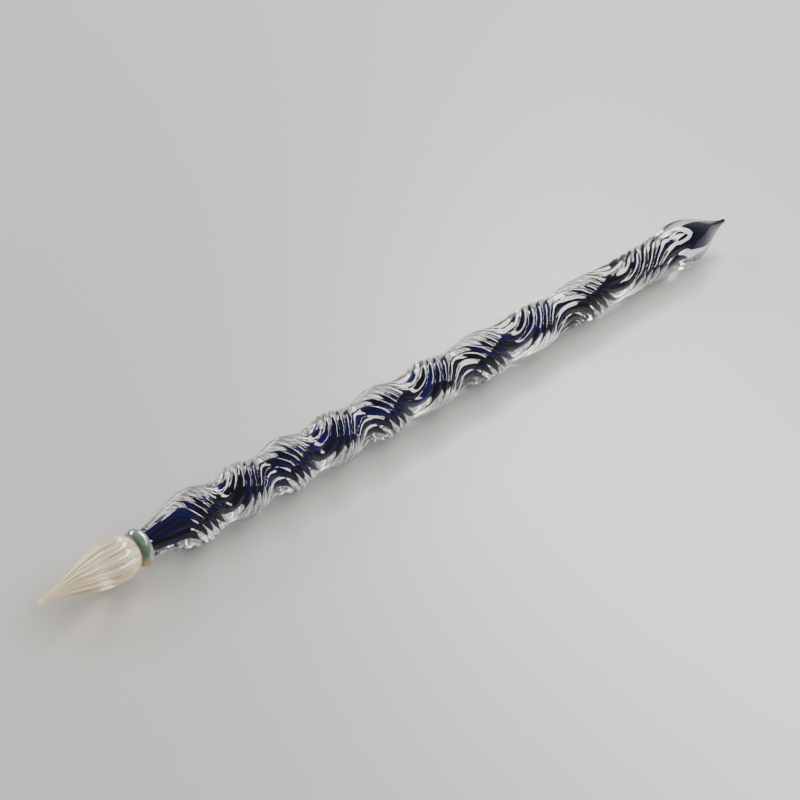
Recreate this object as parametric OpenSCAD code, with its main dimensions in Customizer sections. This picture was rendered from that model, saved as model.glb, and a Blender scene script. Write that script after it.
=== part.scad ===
// Glass dip pen, worked by hand in a flame.
//
// A fluted nib of pale champagne glass is welded to a two-layer handle, and a ring of coloured
// glass covers the weld.
// The handle is clear glass drawn over a navy core. Its ribs are twisted one way and then the other,
// so they run in hairpins, and the rod stays thinner wherever the twist turns back.
// A smooth finial, drawn to a navy point, closes the far end.
//
// The pen lies along X on the plane Z = 0, with the nib towards -X. The origin is under its middle.
// All sizes are millimetres. Stations along the pen are counted from the tip of the nib.

/* [Nib] */
// Length of the nib, from its tip to the weld in the middle of the collar ring
nib_len = 20.6; // [18:0.1:28]
// Radius of the rounded writing tip
nib_tip_r = 0.52; // [0.3:0.01:0.9]
// Distance of the widest place of the nib from its tip
nib_belly_at = 15.2; // [11:0.1:16]
// Radius of the nib at its widest place
nib_belly_r = 4.05; // [3.2:0.05:5]
// Number of ink flutes round the nib
nib_flutes = 12; // [6:1:14]
// Depth of a flute at the widest place of the nib
nib_flute_depth = 0.5; // [0.2:0.05:0.8]
// Turn of the flutes from the tip to the collar, in degrees
nib_flute_turn = 24; // [0:1:90]
// Share of the nib's shoulder over which the flutes run out into the collar
nib_flute_runout = 0.35; // [0.1:0.05:1]

/* [Weld and collar ring] */
// Radius of the round joint where the nib meets the handle
joint_r = 2.7; // [2:0.05:3.2]
// Width of the collar ring along the pen
collar_w = 2.4; // [1.4:0.1:3.2]
// How far the collar ring stands out from the joint
collar_rise = 0.78; // [0.4:0.02:1.4]

/* [Handle] */
// Length of the handle, from the weld at the nib to the weld at the finial
handle_len = 145.9; // [110:0.1:180]
// Length of the neck, from the weld to the first place where the twist turns back
neck_len = 7.2; // [5:0.1:9]
// Rib-crest radius of the handle where the twist turns back, at the nib end
hairpin_r_near = 4.1; // [3.5:0.05:5]
// Rib-crest radius of the handle where the twist turns back, at the finial end
hairpin_r_far = 4.35; // [3.5:0.05:5]
// How much the radius swells between two turns of the twist, at the nib end
swell_near = 1.12; // [0.2:0.02:1.6]
// How much the radius swells between two turns of the twist, at the finial end
swell_far = 0.22; // [0:0.02:1.6]

/* [Ribs and twist] */
// Number of ribs round the handle
ribs = 12; // [8:1:14]
// Depth of the grooves between the ribs
rib_depth = 0.45; // [0.1:0.05:0.7]
// Number of stretches of twist, each turning against the one before
limbs = 10; // [6:1:14]
// Length of the last stretch of twist as a multiple of the first
limb_growth = 1.86; // [1:0.01:2.4]
// Swing of a rib to each side of its middle line, in degrees
twist_swing = 72; // [30:1:90]

/* [Navy core] */
// Core radius as a share of the rib-crest radius, which drawing the handle leaves the same everywhere
core_share = 0.42; // [0.25:0.01:0.55]
// Core radius as a share of the finial's radius at its widest place, where clear glass is gathered
finial_core_share = 0.24; // [0.15:0.01:0.55]
// Core radius as a share of the finial's radius just before its point
point_core_share = 0.45; // [0.2:0.01:0.6]

/* [Finial] */
// Length of the finial, from its weld to its point
finial_len = 23.5; // [20:0.1:32]
// Radius at the weld between the handle and the finial
waist_r = 4.8; // [4:0.05:5.2]
// Distance of the widest place of the finial from its weld
finial_belly_at = 6.0; // [4:0.1:9]
// Radius of the finial at its widest place
finial_belly_r = 5.7; // [4.5:0.05:6.5]
// Number of soft folds round the finial
finial_folds = 4; // [3:1:8]
// Depth of the soft folds
finial_fold_depth = 0.45; // [0:0.05:0.8]
// Turn of the folds beyond the weld, in degrees, after which they run straight to the point
finial_fold_turn = 30; // [0:1:120]
// Radius of the navy bead that ends the finial
point_r = 0.48; // [0.3:0.01:0.8]

/* [Hidden] */

// Fineness of the surfaces
ring_points = 48;
limb_steps = 10;
nib_steps = 22;
neck_steps = 7;
finial_steps = 22;
tip_steps = 3;
ring_steps = 12;
bead_steps = 8;
facets = 64;

// Stations of the welds, the collar and the point, from the tip of the nib
weld = nib_len;
collar_from = weld - collar_w / 2;
collar_to = weld + collar_w / 2;
first_turn = weld + neck_len;
finial_weld = weld + handle_len;
finial_belly = finial_weld + finial_belly_at;
pen_len = finial_weld + finial_len;
bead_len = 1.5 * point_r;
bead_from = pen_len - bead_len;

// The last turn of the twist lies just before the finial's weld
last_turn_gap = 0.5;
// The length of a stretch of twist grows by this power of its number
growth_power = 1.5;
twisted_len = handle_len - neck_len - last_turn_gap;
// The swell fades by this power of the stretch's number
swell_power = 4;

// The nib's tip is rounded like a bead, and ground flat at this angle from the pen's axis
tip_cut = 20;

// Shape of the nib's two slopes, of the finial's taper and of a rib's crown
nib_taper_power = 1.05;
nib_shoulder_power = 3;
finial_taper_power = 0.9;
rib_crown_power = 0.7;
// The ribs fade in from the collar to this far past the first turn, and out over this much finial
rib_fade_in = 3;
rib_fade_out = 6;

nib_colour = [0.95, 0.92, 0.86, 0.55];
clear_colour = [0.86, 0.89, 0.93, 0.4];
navy_colour = [0.03, 0.04, 0.32];
collar_colour = [0.42, 0.55, 0.5, 0.8];

function mix(a, b, t) = a + (b - a) * t;
function ease(t) = let (u = min(max(t, 0), 1)) u * u * (3 - 2 * u);
function total(list, i = 0) = i < len(list) ? list[i] + total(list, i + 1) : 0;

// Where the twist turns back: each stretch is longer than the one before
function growth(k) = 1 + (limb_growth - 1) * pow(k / (limbs - 1), growth_power);
limb_unit = twisted_len / total([for (k = [0:limbs - 1]) growth(k)]);
turns = [for (k = 0, at = first_turn; k <= limbs; at = at + limb_unit * growth(k), k = k + 1) at];

// The stretch that holds station s, and how far along it s lies, from 0 to 1
function limb_of(s) = max([0, for (k = [0:limbs - 1]) if (turns[k] <= s) k]);
function along(s) = let (k = limb_of(s)) min(max((s - turns[k]) / (turns[k + 1] - turns[k]), 0), 1);

first_middle = (turns[0] + turns[1]) / 2;
last_middle = (turns[limbs - 1] + turns[limbs]) / 2;

// How far station s lies down the nib's shoulder or the finial's taper, from 0 to 1
function shoulder(s) = (s - nib_belly_at) / (collar_from - nib_belly_at);
function taper(s) = (pen_len - s) / (pen_len - finial_belly);

// Share of the nib's radius that is left at station s by the rounding of its tip
function tip_round(s) =
    let (u = max(cos(tip_cut) - s / nib_tip_r, 0))
    sqrt(1 - u * u);

// Rib-crest radius of each stretch of the pen at station s
function nib_r(s) =
    s < nib_belly_at
        ? tip_round(s) * mix(nib_tip_r, nib_belly_r, ease(pow(s / nib_belly_at, nib_taper_power)))
        : mix(nib_belly_r, joint_r, pow(min(shoulder(s), 1), nib_shoulder_power));
function swell(k) = mix(swell_near, swell_far, pow(k / (limbs - 1), swell_power));
function twisted_r(s) =
    mix(hairpin_r_near, hairpin_r_far, (s - turns[0]) / twisted_len)
    + swell(limb_of(s)) * pow(sin(180 * along(s)), 2);
function handle_r(s) =
    s < first_middle
        ? mix(joint_r, twisted_r(first_middle), ease((s - collar_to) / (first_middle - collar_to)))
    : s > last_middle
        ? mix(twisted_r(last_middle), waist_r, ease((s - last_middle) / (finial_weld - last_middle)))
    : twisted_r(s);
function finial_r(s) =
    s < finial_belly
        ? mix(waist_r, finial_belly_r, ease((s - finial_weld) / finial_belly_at))
        : mix(point_r, finial_belly_r, ease(pow(taper(s), finial_taper_power)));
function crest_r(s) = s < weld ? nib_r(s) : s < finial_weld ? handle_r(s) : finial_r(s);

// Angle of a rib at station s: it swings to and fro along the handle
function twist(s) = -twist_swing * cos(180 * along(s)) * (limb_of(s) % 2 == 0 ? 1 : -1);

// Rounded crown of a rib: 1 on the crest and 0 in the groove, once for each turn of a
function crown(a) = pow(abs(cos(180 * a)), rib_crown_power);

// Depth of the flutes, ribs and folds at station s
function nib_groove(s) =
    nib_flute_depth * nib_r(s) / nib_belly_r * ease((1 - shoulder(s)) / nib_flute_runout);
function rib_groove(s) =
    rib_depth
    * ease((s - collar_to) / (first_turn + rib_fade_in - collar_to))
    * ease(1 - (s - finial_weld) / rib_fade_out);
function fold_groove(s) =
    finial_fold_depth * ease((s - finial_weld) / finial_belly_at) * finial_r(s) / finial_belly_r;

// Radius of the navy core: it thins where the clear glass swells into the finial
function share(s) =
    s < finial_belly
        ? mix(core_share, finial_core_share, ease((s - finial_weld) / finial_belly_at))
        : mix(finial_core_share, point_core_share, ease((s - finial_belly) / (bead_from - finial_belly)));
function core_r(s) = share(s) * crest_r(s);

// The bead at the point is as wide as the clear glass that it closes
bead_r = finial_r(bead_from) - fold_groove(bead_from);

// Rings of points round the pen. A ring is turned with its ribs, so the mesh follows them.
function nib_ring(s) = [for (j = [0:ring_points - 1])
    let (a = 360 * j / ring_points, groove = nib_groove(s) * (1 - crown(nib_flutes * a / 360)))
    [s, nib_r(s) - groove, a + nib_flute_turn * s / nib_len]];
function rod_ring(s) = [for (j = [0:ring_points - 1])
    let (
        a = 360 * j / ring_points,
        fold_turn = finial_fold_turn * ease((s - finial_weld) / (2 * finial_belly_at)),
        fold = fold_groove(s) * (1 - cos(finial_folds * (a - fold_turn))) / 2,
        rib = rib_groove(s) * (1 - crown(ribs * a / 360))
    )
    [s, crest_r(s) - rib - fold, a + twist(s)]];

function steps(from, to, count) = [for (i = [0:count]) mix(from, to, i / count)];
nib_stations = concat(
    [for (i = [0:tip_steps - 1]) nib_tip_r * (cos(tip_cut) - cos(mix(tip_cut, 90, i / tip_steps)))],
    steps(nib_tip_r, collar_from, nib_steps),
    [weld]
);
handle_stations = concat(
    steps(weld, collar_to, 1),
    [for (i = [1:neck_steps]) mix(collar_to, first_turn, i / neck_steps)],
    [for (k = [0:limbs - 1], i = [1:limb_steps]) mix(turns[k], turns[k + 1], i / limb_steps)],
    [finial_weld]
);
finial_stations = steps(finial_weld, bead_from, finial_steps);

// Height of the pen's axis: its lowest point touches the plane it lies on
rod_lowest = [for (s = concat(handle_stations, finial_stations), p = rod_ring(s)) -p[1] * cos(p[2])];
nib_lowest = [for (s = nib_stations, p = nib_ring(s)) -p[1] * cos(p[2])];
axis_h = max(concat(rod_lowest, nib_lowest));

// A ring point is [station, radius, angle], with the angle from the top towards -Y
function place(p) = [p[0] - pen_len / 2, -p[1] * sin(p[2]), axis_h + p[1] * cos(p[2])];

// A closed skin over a list of rings
module loft(rings) {
    n = ring_points;
    last = len(rings) - 1;
    sides = [
        for (i = [0:last - 1], j = [0:n - 1])
        let (a = i * n + j, b = i * n + (j + 1) % n)
        each [[a, a + n, b], [b, a + n, b + n]]
    ];
    near_end = [for (j = [0:n - 1]) j];
    far_end = [for (j = [n - 1:-1:0]) last * n + j];
    polyhedron(
        points = [for (ring = rings, p = ring) place(p)],
        faces = concat([near_end], sides, [far_end])
    );
}

// A round solid about the pen's axis, from an outline of [radius, station] points
module turned(outline) {
    translate([-pen_len / 2, 0, axis_h])
        rotate([0, 90, 0])
            rotate_extrude($fn = facets)
                polygon(outline);
}

// Outline of the navy core between the first and the last of the stations, with square ends
function core_outline(stations) =
    let (last = stations[len(stations) - 1])
    concat([[0, stations[0]]], [for (s = stations) [core_r(s), s]], [[0, last]]);

// The core's outline, run on past both ends so that it cuts a clean bore
function core_cut(stations) =
    let (
        first = stations[0],
        last = stations[len(stations) - 1],
        first_r = core_r(first),
        last_r = core_r(last)
    )
    concat(
        [[0, first - 1], [first_r, first - 1]],
        [for (s = stations) [core_r(s), s]],
        [[last_r, last + 1], [0, last + 1]]
    );

module nib() {
    color(nib_colour)
        loft([for (s = nib_stations) nib_ring(s)]);
}

module collar_ring() {
    color(collar_colour)
        turned([
            [joint_r, collar_from],
            for (i = [1:ring_steps - 1])
                let (a = 180 * i / ring_steps)
                [joint_r + collar_rise * sin(a), weld - collar_w / 2 * cos(a)],
            [joint_r, collar_to]
        ]);
}

module handle_casing() {
    color(clear_colour)
        difference() {
            loft([for (s = handle_stations) rod_ring(s)]);
            turned(core_cut(handle_stations));
        }
}

module handle_core() {
    color(navy_colour)
        turned(core_outline(handle_stations));
}

module finial_casing() {
    color(clear_colour)
        difference() {
            loft([for (s = finial_stations) rod_ring(s)]);
            turned(core_cut(finial_stations));
        }
}

module finial_core() {
    color(navy_colour)
        turned(concat(
            [[0, finial_weld]],
            [for (s = finial_stations) [core_r(s), s]],
            [for (i = [0:bead_steps])
                let (a = 90 * i / bead_steps)
                [bead_r * cos(a), bead_from + bead_len * sin(a)]]
        ));
}

nib();
collar_ring();
handle_casing();
handle_core();
finial_casing();
finial_core();
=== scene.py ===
import math

import bpy
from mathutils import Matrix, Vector


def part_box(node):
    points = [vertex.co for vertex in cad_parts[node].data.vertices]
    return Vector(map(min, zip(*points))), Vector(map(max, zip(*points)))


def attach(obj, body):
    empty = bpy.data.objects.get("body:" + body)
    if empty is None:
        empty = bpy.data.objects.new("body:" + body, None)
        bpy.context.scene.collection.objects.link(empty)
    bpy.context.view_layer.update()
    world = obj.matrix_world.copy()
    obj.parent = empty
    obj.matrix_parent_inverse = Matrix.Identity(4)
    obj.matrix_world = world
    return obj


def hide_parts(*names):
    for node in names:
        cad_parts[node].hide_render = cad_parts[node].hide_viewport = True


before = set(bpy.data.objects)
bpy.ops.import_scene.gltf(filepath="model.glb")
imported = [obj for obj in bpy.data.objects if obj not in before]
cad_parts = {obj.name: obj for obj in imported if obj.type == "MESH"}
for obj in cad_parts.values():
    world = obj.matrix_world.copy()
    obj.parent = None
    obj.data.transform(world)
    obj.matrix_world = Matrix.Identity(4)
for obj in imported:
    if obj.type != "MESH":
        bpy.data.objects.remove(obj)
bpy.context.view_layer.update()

# A glass dip pen, finished around its CAD frame. Every drawn piece of glass follows one rule: a spine
# holds, station by station, how thick the glass is, how deep its grooves are and how far it has been
# twisted, and one Geometry Nodes tree turns a spine into a closed, fire-polished skin. Stations are
# counted in metres from the tip of the nib.

MM = 0.001

# ---------------------------------------------------------------- sizes taken from the frame
NIB_LOW, NIB_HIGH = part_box("nib")
RING_LOW, RING_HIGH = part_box("collar_ring")
HANDLE_LOW, HANDLE_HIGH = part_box("handle_casing")
POINT_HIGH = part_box("finial_core")[1]

TIP_X = NIB_LOW.x
WELD = HANDLE_LOW.x - TIP_X
COLLAR_FROM = RING_LOW.x - TIP_X
COLLAR_TO = RING_HIGH.x - TIP_X
FINIAL_WELD = HANDLE_HIGH.x - TIP_X
PEN_LEN = POINT_HIGH.x - TIP_X
AXIS_H = (RING_LOW.z + RING_HIGH.z) / 2
COLLAR_R = (RING_HIGH.z - RING_LOW.z) / 2

# ---------------------------------------------------------------- sizes of the glass
POLISH = 0.994            # share of the frame's radius that the fire-polished skin keeps
COLLAR_SINK = 0.25 * MM   # how deep the bead of the collar is sunk into the weld

NIB_TIP_R = 0.52 * MM
TIP_CUT = math.radians(20)
NIB_BELLY_AT = 15.2 * MM
NIB_BELLY_R = 4.05 * MM
NIB_FLUTES = 12
NIB_FLUTE_DEPTH = 0.6 * MM
NIB_FLUTE_TURN = math.radians(24)
NIB_FLUTE_RUNOUT = 0.35

NIB_TAPER_POWER = 1.05
NIB_SHOULDER_POWER = 3

JOINT_R = 2.7 * MM
NECK_LEN = 7.2 * MM
HAIRPIN_R_NEAR = 4.1 * MM
HAIRPIN_R_FAR = 4.35 * MM
SWELL_NEAR = 1.12 * MM
SWELL_FAR = 0.22 * MM

RIBS = 12
RIB_DEPTH = 0.5 * MM
LIMBS = 10
LIMB_GROWTH = 1.86
GROWTH_POWER = 1.5
SWELL_POWER = 4
TWIST_SWING = math.radians(72)
LAST_TURN_GAP = 0.5 * MM
RIB_FADE_IN = 3.0 * MM
RIB_FADE_OUT = 6.0 * MM

CORE_SHARE = 0.42
FINIAL_CORE_SHARE = 0.24
POINT_CORE_SHARE = 0.45

WAIST_R = 4.8 * MM
FINIAL_BELLY_AT = 6.0 * MM
FINIAL_BELLY_R = 5.7 * MM
FINIAL_FOLDS = 4
FINIAL_FOLD_DEPTH = 0.45 * MM
FINIAL_FOLD_TURN = math.radians(30)
FINIAL_TAPER_POWER = 0.9
POINT_R = 0.48 * MM
BEAD_LEN = 1.5 * POINT_R
BEAD_FROM = PEN_LEN - BEAD_LEN
BEAD_FLAT = 0.05          # share of the bead's radius that its tip is cut flat at


# ---------------------------------------------------------------- the rule of the drawn glass
def mix(a, b, t):
    return a + (b - a) * t


def ease(t):
    t = min(max(t, 0.0), 1.0)
    return t * t * (3 - 2 * t)


def growth(k):
    return 1 + (LIMB_GROWTH - 1) * (k / (LIMBS - 1)) ** GROWTH_POWER


TWISTED_LEN = FINIAL_WELD - WELD - NECK_LEN - LAST_TURN_GAP
LIMB_UNIT = TWISTED_LEN / sum(growth(k) for k in range(LIMBS))
TURNS = [WELD + NECK_LEN]
for stretch in range(LIMBS):
    TURNS.append(TURNS[-1] + LIMB_UNIT * growth(stretch))
FIRST_MIDDLE = (TURNS[0] + TURNS[1]) / 2
LAST_MIDDLE = (TURNS[-2] + TURNS[-1]) / 2


def limb_of(s):
    return max([0] + [k for k in range(LIMBS) if TURNS[k] <= s])


def along(s):
    k = limb_of(s)
    return min(max((s - TURNS[k]) / (TURNS[k + 1] - TURNS[k]), 0.0), 1.0)


def twist(s):
    side = 1 if limb_of(s) % 2 == 0 else -1
    return -TWIST_SWING * math.cos(math.pi * along(s)) * side


def shoulder(s):
    return (s - NIB_BELLY_AT) / (COLLAR_FROM - NIB_BELLY_AT)


def tip_round(s):
    u = max(math.cos(TIP_CUT) - s / NIB_TIP_R, 0)
    return math.sqrt(1 - u * u)


def nib_r(s):
    if s < NIB_BELLY_AT:
        slope = ease((max(s, 0) / NIB_BELLY_AT) ** NIB_TAPER_POWER)
        return tip_round(s) * mix(NIB_TIP_R, NIB_BELLY_R, slope)
    return mix(NIB_BELLY_R, JOINT_R, min(shoulder(s), 1) ** NIB_SHOULDER_POWER)


def twisted_r(s):
    base = mix(HAIRPIN_R_NEAR, HAIRPIN_R_FAR, (s - TURNS[0]) / TWISTED_LEN)
    swell = mix(SWELL_NEAR, SWELL_FAR, (limb_of(s) / (LIMBS - 1)) ** SWELL_POWER)
    return base + swell * math.sin(math.pi * along(s)) ** 2


def handle_r(s):
    if s < FIRST_MIDDLE:
        return mix(JOINT_R, twisted_r(FIRST_MIDDLE), ease((s - COLLAR_TO) / (FIRST_MIDDLE - COLLAR_TO)))
    if s > LAST_MIDDLE:
        return mix(twisted_r(LAST_MIDDLE), WAIST_R, ease((s - LAST_MIDDLE) / (FINIAL_WELD - LAST_MIDDLE)))
    return twisted_r(s)


def finial_r(s):
    belly = FINIAL_WELD + FINIAL_BELLY_AT
    if s < belly:
        return mix(WAIST_R, FINIAL_BELLY_R, ease((s - FINIAL_WELD) / FINIAL_BELLY_AT))
    taper = min(max((PEN_LEN - s) / (PEN_LEN - belly), 0), 1)
    return mix(POINT_R, FINIAL_BELLY_R, ease(taper ** FINIAL_TAPER_POWER))


def rod_r(s):
    return handle_r(s) if s < FINIAL_WELD else finial_r(s)


def flute_depth(s):
    return NIB_FLUTE_DEPTH * nib_r(s) / NIB_BELLY_R * ease((1 - shoulder(s)) / NIB_FLUTE_RUNOUT)


def rib_depth(s):
    fade_in = ease((s - COLLAR_TO) / (TURNS[0] + RIB_FADE_IN - COLLAR_TO))
    fade_out = ease(1 - (s - FINIAL_WELD) / RIB_FADE_OUT)
    return RIB_DEPTH * fade_in * fade_out


def fold_depth(s):
    return FINIAL_FOLD_DEPTH * ease((s - FINIAL_WELD) / FINIAL_BELLY_AT) * finial_r(s) / FINIAL_BELLY_R


def fold_turn(s):
    return FINIAL_FOLD_TURN * ease((s - FINIAL_WELD) / (2 * FINIAL_BELLY_AT))


def core_r(s):
    belly = FINIAL_WELD + FINIAL_BELLY_AT
    if s < belly:
        share = mix(CORE_SHARE, FINIAL_CORE_SHARE, ease((s - FINIAL_WELD) / FINIAL_BELLY_AT))
    else:
        share = mix(FINIAL_CORE_SHARE, POINT_CORE_SHARE, ease((s - belly) / (BEAD_FROM - belly)))
    return share * rod_r(s)


# ---------------------------------------------------------------- materials
def new_material(name):
    material = bpy.data.materials.new(name)
    material.use_nodes = True
    return material, material.node_tree.nodes, material.node_tree.links


def set_values(node, **values):
    for key, value in values.items():
        node.inputs[key.replace("_", " ")].default_value = value


def fire_polish_group():
    """A slow waviness left by the flame, with finer drawn streaks along the pen, as a normal."""
    group = bpy.data.node_groups.new("fire_polish", "ShaderNodeTree")
    interface = group.interface
    for name, start in (("Wave Scale", 220.0), ("Streak Scale", 900.0), ("Height", 1.0)):
        socket = interface.new_socket(name=name, in_out="INPUT", socket_type="NodeSocketFloat")
        socket.default_value = start
    interface.new_socket(name="Normal", in_out="OUTPUT", socket_type="NodeSocketVector")
    nodes, links = group.nodes, group.links
    entry = nodes.new("NodeGroupInput")
    leave = nodes.new("NodeGroupOutput")
    coords = nodes.new("ShaderNodeTexCoord")
    wave = nodes.new("ShaderNodeTexNoise")
    wave.inputs["Detail"].default_value = 2
    links.new(coords.outputs["Object"], wave.inputs["Vector"])
    links.new(entry.outputs["Wave Scale"], wave.inputs["Scale"])
    stretch = nodes.new("ShaderNodeMapping")
    stretch.inputs["Scale"].default_value = (0.12, 1, 1)
    streak = nodes.new("ShaderNodeTexNoise")
    streak.inputs["Detail"].default_value = 3
    links.new(coords.outputs["Object"], stretch.inputs["Vector"])
    links.new(stretch.outputs["Vector"], streak.inputs["Vector"])
    links.new(entry.outputs["Streak Scale"], streak.inputs["Scale"])
    both = nodes.new("ShaderNodeMath")
    both.operation = "MULTIPLY_ADD"
    both.inputs[1].default_value = 0.25
    links.new(streak.outputs["Fac"], both.inputs[0])
    links.new(wave.outputs["Fac"], both.inputs[2])
    scaled = nodes.new("ShaderNodeMath")
    scaled.operation = "MULTIPLY"
    links.new(both.outputs[0], scaled.inputs[0])
    links.new(entry.outputs["Height"], scaled.inputs[1])
    bump = nodes.new("ShaderNodeBump")
    bump.inputs["Strength"].default_value = 0.2
    bump.inputs["Distance"].default_value = 0.0001
    links.new(scaled.outputs[0], bump.inputs["Height"])
    links.new(bump.outputs["Normal"], leave.inputs["Normal"])
    return group


FIRE_POLISH = fire_polish_group()


def glass(name, tint, roughness, ior, clearness=1.0, wave=0.0, gloss=0.5):
    material, nodes, links = new_material(name)
    shader = nodes["Principled BSDF"]
    set_values(
        shader, Base_Color=(*tint, 1), Roughness=roughness, IOR=ior,
        Transmission_Weight=clearness, Specular_IOR_Level=gloss,
    )
    if wave:
        polish = nodes.new("ShaderNodeGroup")
        polish.node_tree = FIRE_POLISH
        polish.inputs["Height"].default_value = wave
        links.new(polish.outputs["Normal"], shader.inputs["Normal"])
    return material


def two_colours(material, mask, low, high, low_at=0.0, high_at=1.0):
    """Base colour from one colour to another as a mask rises."""
    nodes, links = material.node_tree.nodes, material.node_tree.links
    ramp = nodes.new("ShaderNodeValToRGB")
    ramp.color_ramp.elements[0].position = low_at
    ramp.color_ramp.elements[0].color = (*low, 1)
    ramp.color_ramp.elements[1].position = high_at
    ramp.color_ramp.elements[1].color = (*high, 1)
    links.new(mask, ramp.inputs["Fac"])
    links.new(ramp.outputs["Color"], nodes["Principled BSDF"].inputs["Base Color"])


def nib_glass():
    """Champagne glass, with painted shade: darker amber is painted into the bottoms of the ink flutes."""
    material = glass("champagne_glass", (1.0, 0.88, 0.66), 0.02, 1.5, clearness=0.75, wave=0.3)
    # Painted shade: the deeper a point lies below its flute's crown, the more its colour turns to dark
    # amber.
    groove_shade = material.node_tree.nodes.new("ShaderNodeAttribute")
    groove_shade.attribute_name = "groove_shade"
    two_colours(material, groove_shade.outputs["Fac"], (1.0, 0.88, 0.66), (0.28, 0.13, 0.03), 0.45, 0.9)
    return material


def collar_glass():
    """Grey-green glass that turns amber towards the bottom of the bead, broken up by noise."""
    material = glass("celadon_glass", (0.1, 0.15, 0.125), 0.05, 1.5, clearness=0.2, wave=1.5, gloss=0.3)
    nodes, links = material.node_tree.nodes, material.node_tree.links
    coords = nodes.new("ShaderNodeTexCoord")
    wisp = nodes.new("ShaderNodeTexNoise")
    set_values(wisp, Scale=900.0, Detail=3.0, Distortion=1.5)
    links.new(coords.outputs["Object"], wisp.inputs["Vector"])
    split = nodes.new("ShaderNodeSeparateXYZ")
    links.new(coords.outputs["Object"], split.inputs["Vector"])
    depth = nodes.new("ShaderNodeMapRange")
    depth.inputs["From Min"].default_value = AXIS_H + 0.2 * MM
    depth.inputs["From Max"].default_value = AXIS_H - 2.2 * MM
    links.new(split.outputs["Z"], depth.inputs["Value"])
    mask = nodes.new("ShaderNodeMath")
    mask.operation = "MULTIPLY_ADD"
    mask.inputs[1].default_value = 1.0
    links.new(wisp.outputs["Fac"], mask.inputs[0])
    links.new(depth.outputs["Result"], mask.inputs[2])
    two_colours(material, mask.outputs[0], (0.1, 0.15, 0.125), (0.45, 0.22, 0.01), 0.62, 0.9)
    return material


def navy_glass():
    """Nearly black navy, with painted glints: brighter cobalt streaks drawn out along the twist stand in for
    light passing through the glass.
    """
    material = glass("dense_navy", (0.002, 0.003, 0.05), 0.3, 1.5, clearness=0.0, gloss=0.0)
    nodes, links = material.node_tree.nodes, material.node_tree.links
    drawn = nodes.new("ShaderNodeAttribute")
    drawn.attribute_name = "drawn"
    streak = nodes.new("ShaderNodeTexNoise")
    set_values(streak, Scale=1.0, Detail=2.0)
    stretch = nodes.new("ShaderNodeMapping")
    stretch.inputs["Scale"].default_value = (0.2, 1.8, 1.8)
    links.new(drawn.outputs["Vector"], stretch.inputs["Vector"])
    links.new(stretch.outputs["Vector"], streak.inputs["Vector"])
    # Painted glints: where the streak noise rises, the colour turns to bright cobalt.
    two_colours(material, streak.outputs["Fac"], (0.0005, 0.0004, 0.005), (0.0035, 0.0028, 0.08), 0.44, 0.7)
    return material


CLEAR_GLASS = glass("drawn_clear_glass", (1, 1, 1), 0.0, 1.5, wave=0.3)
FUSED_JOINT = glass("fused_joint", (1, 1, 1), 0.0, 1.0)
NIB_GLASS = nib_glass()
COLLAR_GLASS = collar_glass()
NAVY_GLASS = navy_glass()


# ---------------------------------------------------------------- the tree that draws a skin over a spine
def field_tools(tree):
    nodes, links = tree.nodes, tree.links

    def plug(value, socket):
        if isinstance(value, bpy.types.NodeSocket):
            links.new(value, socket)
        else:
            socket.default_value = value

    def maths(operation, a, b=None, c=None):
        node = nodes.new("ShaderNodeMath")
        node.operation = operation
        for value, socket in zip((a, b, c), node.inputs):
            if value is not None:
                plug(value, socket)
        return node.outputs[0]

    return nodes, links, plug, maths


SPINE_VALUES = ("radius", "groove", "turn", "fold", "fold_turn")
UNEVEN_SCALE = 160.0      # how fast the unevenness changes along the pen, in swings per metre


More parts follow.
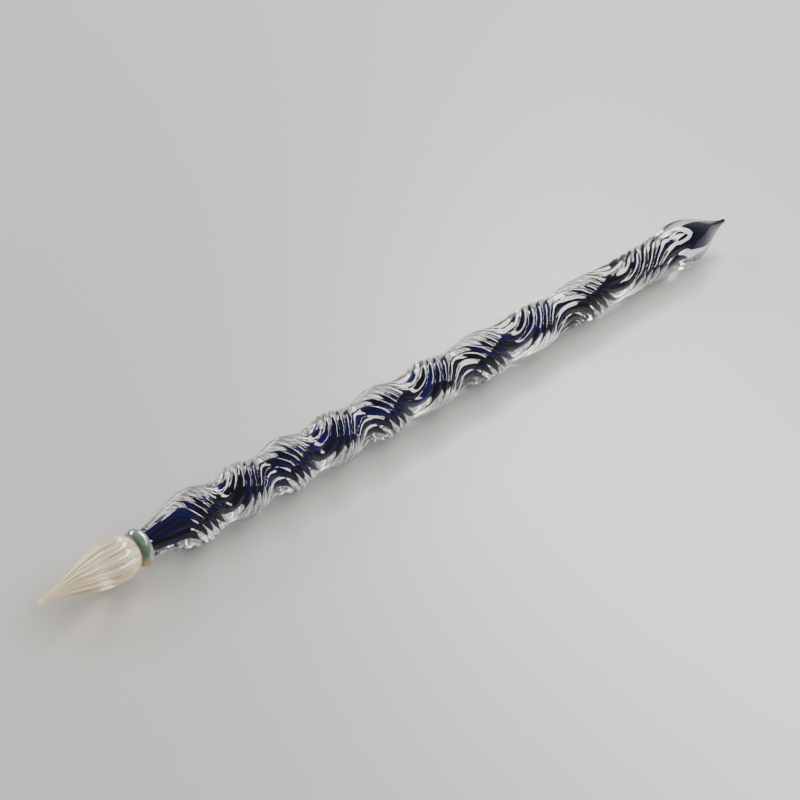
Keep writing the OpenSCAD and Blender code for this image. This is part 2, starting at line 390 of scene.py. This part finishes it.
def drawn_glass_tree():
    tree = bpy.data.node_groups.new("drawn_glass", "GeometryNodeTree")
    tree.is_modifier = True
    sockets = tree.interface
    sockets.new_socket(name="Spine", in_out="INPUT", socket_type="NodeSocketGeometry")
    for name, kind in (
        ("Stretches", "NodeSocketInt"), ("Points Round", "NodeSocketInt"), ("Ribs", "NodeSocketFloat"),
        ("Crown", "NodeSocketFloat"), ("Folds", "NodeSocketFloat"), ("Axis Height", "NodeSocketFloat"),
        ("Unevenness", "NodeSocketFloat"),
        ("Glass", "NodeSocketMaterial"), ("Joint", "NodeSocketMaterial"),
    ):
        sockets.new_socket(name=name, in_out="INPUT", socket_type=kind)
    sockets.new_socket(name="Skin", in_out="OUTPUT", socket_type="NodeSocketGeometry")
    nodes, links, plug, maths = field_tools(tree)
    entry = nodes.new("NodeGroupInput")
    leave = nodes.new("NodeGroupOutput")
    value = entry.outputs

    # A tube one unit long for each stretch of the spine, closed at both ends
    tube = nodes.new("GeometryNodeMeshCylinder")
    tube.fill_type = "NGON"
    plug(value["Points Round"], tube.inputs["Vertices"])
    plug(value["Stretches"], tube.inputs["Side Segments"])
    plug(value["Stretches"], tube.inputs["Depth"])
    plug(1.0, tube.inputs["Radius"])
    place = nodes.new("GeometryNodeInputPosition")
    split = nodes.new("ShaderNodeSeparateXYZ")
    links.new(place.outputs[0], split.inputs[0])
    round_angle = maths("ARCTAN2", split.outputs["Y"], split.outputs["X"])
    half = maths("MULTIPLY", value["Stretches"], 0.5)
    station = maths("ROUND", maths("ADD", split.outputs["Z"], half))

    def from_spine(name=None):
        sample = nodes.new("GeometryNodeSampleIndex")
        links.new(value["Spine"], sample.inputs["Geometry"])
        links.new(station, sample.inputs["Index"])
        if name is None:
            sample.data_type = "FLOAT_VECTOR"
            source = nodes.new("GeometryNodeInputPosition").outputs[0]
            links.new(source, sample.inputs["Value"])
        else:
            sample.data_type = "FLOAT"
            named = nodes.new("GeometryNodeInputNamedAttribute")
            named.data_type = "FLOAT"
            named.inputs["Name"].default_value = name
            links.new(named.outputs["Attribute"], sample.inputs["Value"])
        return sample.outputs["Value"]

    spine = {name: from_spine(name) for name in SPINE_VALUES}
    spine_place = nodes.new("ShaderNodeSeparateXYZ")
    links.new(from_spine(), spine_place.inputs[0])

    # The hand that turned the rod left the ribs a little uneven
    around = nodes.new("ShaderNodeCombineXYZ")
    links.new(maths("MULTIPLY", spine_place.outputs["X"], UNEVEN_SCALE), around.inputs["X"])
    links.new(split.outputs["X"], around.inputs["Y"])
    links.new(split.outputs["Y"], around.inputs["Z"])
    hand = nodes.new("ShaderNodeTexNoise")
    hand.inputs["Scale"].default_value = 1.0
    hand.inputs["Detail"].default_value = 1.0
    links.new(around.outputs[0], hand.inputs["Vector"])
    sway = maths("MULTIPLY", maths("SUBTRACT", hand.outputs["Fac"], 0.5), value["Unevenness"])
    rib_angle = maths("ADD", round_angle, sway)

    # Each rib has a round crown, and the grooves between ribs are narrow
    half_ribs = maths("MULTIPLY", value["Ribs"], 0.5)
    rib_wave = maths("ABSOLUTE", maths("COSINE", maths("MULTIPLY", rib_angle, half_ribs)))
    below_crown = maths("SUBTRACT", 1.0, maths("POWER", rib_wave, value["Crown"]))
    rib_cut = maths("MULTIPLY", spine["groove"], below_crown)
    fold_phase = maths("MULTIPLY", maths("SUBTRACT", round_angle, spine["fold_turn"]), value["Folds"])
    fold_wave = maths("MULTIPLY", maths("SUBTRACT", 1.0, maths("COSINE", fold_phase)), 0.5)
    fold_cut = maths("MULTIPLY", spine["fold"], fold_wave)
    thickness = maths("SUBTRACT", maths("SUBTRACT", spine["radius"], rib_cut), fold_cut)
    angle = maths("ADD", round_angle, spine["turn"])
    skin_place = nodes.new("ShaderNodeCombineXYZ")
    links.new(spine_place.outputs["X"], skin_place.inputs["X"])
    sideways = maths("MULTIPLY", maths("SINE", angle), -1.0)
    links.new(maths("MULTIPLY", thickness, sideways), skin_place.inputs["Y"])
    raised = maths("MULTIPLY_ADD", thickness, maths("COSINE", angle), value["Axis Height"])
    links.new(raised, skin_place.inputs["Z"])

    # What the glass needs to know is kept on the tube before it is drawn out
    def keep(geometry, name, kind, field):
        store = nodes.new("GeometryNodeStoreNamedAttribute")
        store.data_type = kind
        store.domain = "POINT"
        store.inputs["Name"].default_value = name
        links.new(geometry, store.inputs["Geometry"])
        links.new(field, store.inputs["Value"])
        return store.outputs["Geometry"]

    # The depth below each crown is kept as the mask for the painted shade in the nib's flutes.
    marked = keep(tube.outputs["Mesh"], "groove_shade", "FLOAT", below_crown)
    marked = keep(marked, "drawn", "FLOAT_VECTOR", around.outputs[0])
    move = nodes.new("GeometryNodeSetPosition")
    links.new(marked, move.inputs["Geometry"])
    links.new(skin_place.outputs[0], move.inputs["Position"])
    smooth = nodes.new("GeometryNodeSetShadeSmooth")
    links.new(move.outputs[0], smooth.inputs[0])
    links.new(tube.outputs["Side"], smooth.inputs["Shade Smooth"])
    real = nodes.new("GeometryNodeRealizeInstances")
    links.new(smooth.outputs[0], real.inputs[0])
    skin = nodes.new("GeometryNodeSetMaterial")
    links.new(real.outputs[0], skin.inputs["Geometry"])
    links.new(value["Glass"], skin.inputs["Material"])
    ends = nodes.new("GeometryNodeSetMaterial")
    not_side = nodes.new("FunctionNodeBooleanMath")
    not_side.operation = "NOT"
    links.new(tube.outputs["Side"], not_side.inputs[0])
    links.new(skin.outputs[0], ends.inputs["Geometry"])
    links.new(not_side.outputs[0], ends.inputs["Selection"])
    links.new(value["Joint"], ends.inputs["Material"])
    links.new(ends.outputs[0], leave.inputs["Skin"])
    return tree


DRAWN_GLASS = drawn_glass_tree()


def steps(start, end, count):
    return [mix(start, end, i / count) for i in range(count + 1)]


def drop_empty_slots(mesh):
    """The tube's own slot, which no face uses, comes first and holds nothing."""
    if mesh.materials[0] is None:
        used = [0] * len(mesh.polygons)
        mesh.polygons.foreach_get("material_index", used)
        mesh.materials.pop(index=0)
        mesh.polygons.foreach_set("material_index", [max(index - 1, 0) for index in used])


def drawn_piece(name, stations, rule, points_round, ribs, crown, folds, material, joint, uneven=0.0):
    """One piece of glass. rule gives (radius, groove, turn, fold, fold_turn) at a station."""
    stations = stations[:1] + [stations[0] + RIM] + stations[1:-1] + [stations[-1] - RIM] + stations[-1:]
    mesh = bpy.data.meshes.new(name + "_spine")
    links_along = [(i, i + 1) for i in range(len(stations) - 1)]
    mesh.from_pydata([(TIP_X + s, 0, 0) for s in stations], links_along, [])
    rows = [rule(s) for s in stations]
    for column, value_name in enumerate(SPINE_VALUES):
        attribute = mesh.attributes.new(value_name, "FLOAT", "POINT")
        attribute.data.foreach_set("value", [row[column] for row in rows])
    piece = bpy.data.objects.new(name, mesh)
    bpy.context.scene.collection.objects.link(piece)
    modifier = piece.modifiers.new("drawn_glass", "NODES")
    modifier.node_group = DRAWN_GLASS
    wanted = {
        "Stretches": len(stations) - 1, "Points Round": points_round, "Ribs": float(ribs), "Crown": crown,
        "Folds": float(folds), "Axis Height": AXIS_H, "Glass": material, "Joint": joint,
        "Unevenness": uneven,
    }
    for item in DRAWN_GLASS.interface.items_tree:
        if item.in_out == "INPUT" and item.name in wanted:
            modifier[item.identifier] = wanted[item.name]
    bpy.context.view_layer.update()
    evaluated = piece.evaluated_get(bpy.context.evaluated_depsgraph_get())
    skin = bpy.data.meshes.new_from_object(evaluated)
    skin.name = name
    drop_empty_slots(skin)
    piece.modifiers.clear()
    piece.data = skin
    return piece


def finish_piece(piece, node):
    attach(piece, "root")
    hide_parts(node)
    return piece


# ---------------------------------------------------------------- the pieces
def nib_rule(s):
    return nib_r(s) * POLISH, flute_depth(s), NIB_FLUTE_TURN * s / WELD, 0, 0


def rod_rule(s):
    return rod_r(s) * POLISH, rib_depth(s), twist(s), fold_depth(s), fold_turn(s)


def core_rule(s):
    if s > BEAD_FROM:
        dome = min((s - BEAD_FROM) / BEAD_LEN, 1)
        left = math.sqrt(max(1 - dome * dome, BEAD_FLAT ** 2))
        return rod_r(BEAD_FROM) * POLISH * left, 0, 0, 0, 0
    return core_r(s), 0, twist(s), 0, 0


RIM = 0.005 * MM          # width of the ring that keeps a skin's shading true up to its ends
SEAM = 0.02 * MM          # the fused faces of two pieces are kept this far apart, so that light crosses both
UNEVEN = 0.22             # sway of the ribs by hand, in radians from end to end of the noise

nib = drawn_piece(
    "fluted_nib", steps(0, NIB_TIP_R, 8) + steps(NIB_TIP_R, WELD - SEAM, 160)[1:], nib_rule,
    240, NIB_FLUTES, 0.5, 0, NIB_GLASS, NIB_GLASS, 0.1,
)
handle_casing = drawn_piece(
    "ribbed_casing", steps(WELD, FINIAL_WELD - SEAM, 620), rod_rule, 144, RIBS, 0.6, 0,
    CLEAR_GLASS, FUSED_JOINT, UNEVEN,
)
handle_core = drawn_piece(
    "navy_rod", steps(WELD + SEAM, FINIAL_WELD - 2 * SEAM, 240), core_rule, 48, 0, 1.0, 0,
    NAVY_GLASS, NAVY_GLASS,
)
finial_casing = drawn_piece(
    "finial_skin", steps(FINIAL_WELD, BEAD_FROM, 160), rod_rule, 144, RIBS, 0.6, FINIAL_FOLDS,
    CLEAR_GLASS, FUSED_JOINT, UNEVEN,
)
finial_core = drawn_piece(
    "navy_point", steps(FINIAL_WELD + SEAM, PEN_LEN, 120), core_rule, 48, 0, 1.0, 0,
    NAVY_GLASS, NAVY_GLASS,
)


def make_collar_ring():
    """The bead of coloured glass wound over the weld."""
    around = 96
    section = 24
    verts = []
    faces = []
    middle = (COLLAR_FROM + COLLAR_TO) / 2
    half = (COLLAR_TO - COLLAR_FROM) / 2
    for i in range(around):
        a = 2 * math.pi * i / around
        for j in range(section):
            b = 2 * math.pi * j / section
            rise = (COLLAR_R - JOINT_R) * max(math.sin(b), 0) * POLISH
            sink = COLLAR_SINK * min(math.sin(b), 0)
            r = JOINT_R + rise + sink
            verts.append((TIP_X + middle - half * math.cos(b), -r * math.sin(a), AXIS_H + r * math.cos(a)))
    for i in range(around):
        for j in range(section):
            k, m = (i + 1) % around, (j + 1) % section
            faces.append((i * section + j, i * section + m, k * section + m, k * section + j))
    mesh = bpy.data.meshes.new("collar_bead")
    mesh.from_pydata(verts, [], faces)
    mesh.materials.append(COLLAR_GLASS)
    mesh.polygons.foreach_set("use_smooth", [True] * len(mesh.polygons))
    piece = bpy.data.objects.new("collar_bead", mesh)
    bpy.context.scene.collection.objects.link(piece)
    return piece


collar_ring = make_collar_ring()

for piece, node, slot in (
    (nib, "nib", "nib_glass"),
    (collar_ring, "collar_ring", "collar_glass"),
    (handle_casing, "handle_casing", "clear_glass"),
    (handle_core, "handle_core", "navy_glass"),
    (finial_casing, "finial_casing", "clear_glass"),
    (finial_core, "finial_core", "navy_glass"),
):
    finish_piece(piece, node)


# ---------------------------------------------------------------- floor, light and camera
def make_floor():
    mesh = bpy.data.meshes.new("floor")
    reach = 40.0
    corners = [(-reach, -reach, 0), (reach, -reach, 0), (reach, reach, 0), (-reach, reach, 0)]
    mesh.from_pydata(corners, [], [(0, 1, 2, 3)])
    floor = bpy.data.objects.new("floor", mesh)
    bpy.context.scene.collection.objects.link(floor)
    material, nodes, links = new_material("pale_table")
    set_values(nodes["Principled BSDF"], Base_Color=(0.32, 0.315, 0.31, 1), Roughness=0.35)
    mesh.materials.append(material)


def softbox(name, place, aim, width, height, power):
    light = bpy.data.lights.new(name, "AREA")
    light.color = (1, 0.965, 0.91)
    light.shape = "RECTANGLE"
    light.size, light.size_y = width, height
    light.energy = power
    lamp = bpy.data.objects.new(name, light)
    lamp.location = place
    direction = [b - a for a, b in zip(place, aim)]
    lamp.rotation_euler = Vector(direction).to_track_quat("-Z", "Y").to_euler()
    bpy.context.scene.collection.objects.link(lamp)


def make_lights():
    softbox("key_softbox", (0.5, -0.1, 0.6), (0, 0, 0), 1.5, 0.26, 28)
    softbox("back_softbox", (-0.15, 0.75, 0.4), (0, 0, 0), 0.6, 0.16, 6)
    world = bpy.data.worlds.new("studio")
    world.use_nodes = True
    world.node_tree.nodes["Background"].inputs["Color"].default_value = (0.8, 0.85, 0.9, 1)
    world.node_tree.nodes["Background"].inputs["Strength"].default_value = 0.35
    bpy.context.scene.world = world


def make_camera():
    camera = bpy.data.cameras.new("camera")
    camera.lens = 67.5
    camera.sensor_width = 36
    camera.clip_start = 0.01
    eye = bpy.data.objects.new("camera", camera)
    eye.location = (-0.1798, -0.1711, 0.1717)
    eye.rotation_euler = Vector((0.5757, 0.5869, -0.5693)).to_track_quat("-Z", "Y").to_euler()
    bpy.context.scene.collection.objects.link(eye)
    bpy.context.scene.camera = eye


make_floor()
make_lights()
make_camera()
